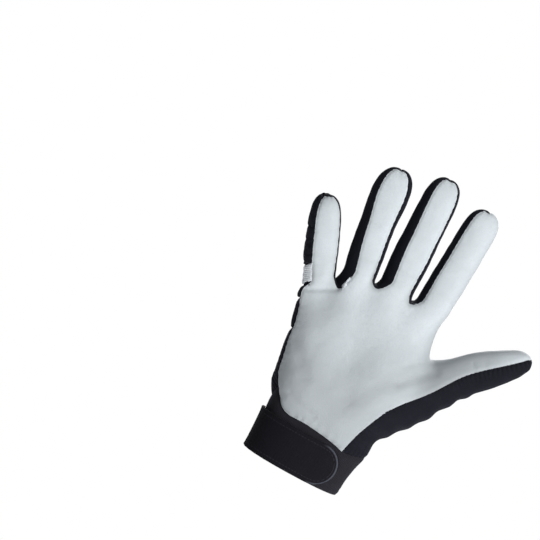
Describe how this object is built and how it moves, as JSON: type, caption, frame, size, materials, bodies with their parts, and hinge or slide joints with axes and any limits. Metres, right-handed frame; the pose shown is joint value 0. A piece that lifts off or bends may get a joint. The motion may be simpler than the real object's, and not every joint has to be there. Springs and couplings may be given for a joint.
{
  "type": "mechanic glove",
  "caption": "Right-hand work glove with a leather palm, black stretch back, ribbed bands over the knuckles and a strapped cuff.",
  "frame": {"origin": "centre of the hand opening, in the plane of the cuff's rim", "axes": "+Z along the hand to the fingertips, -Y out of the palm, +X to the thumb side"},
  "size_m": [0.2024, 0.0549, 0.2486],
  "materials": {
    "palm_leather": "soft matte grain leather, cool light grey",
    "white_leather": "soft matte grain leather, white",
    "white_band": "white elastic band with fine crosswise ribs",
    "stretch_fabric": "black stretch fabric, matte",
    "rib_knit": "black fabric with a fine slanted rib",
    "cuff_knit": "black padded knit, matte",
    "strap_fabric": "black closing strap with a dark grey edge",
    "label_fabric": "dark woven label with plain blue bars"
  },
  "bodies": {
    "root": {"palm_leather": "palm_leather", "gusset_ring_pinkie": "stretch_fabric", "gusset_middle_ring": "stretch_fabric", "gusset_index_middle": "stretch_fabric", "knuckle_panel": "stretch_fabric", "back_upper": "rib_knit", "back_lower": "rib_knit", "thumb_back": "rib_knit", "cuff": "cuff_knit", "strap": "strap_fabric", "label": "label_fabric", "back_pinkie": "stretch_fabric", "band_pinkie": "white_band", "back_ring": "stretch_fabric", "band_ring": "white_band", "cap_ring": "white_leather", "back_middle": "stretch_fabric", "band_middle": "white_band", "cap_middle": "white_leather", "back_index": "stretch_fabric", "band_index": "white_band", "cap_index": "white_leather"}
  },
  "joints": []
}
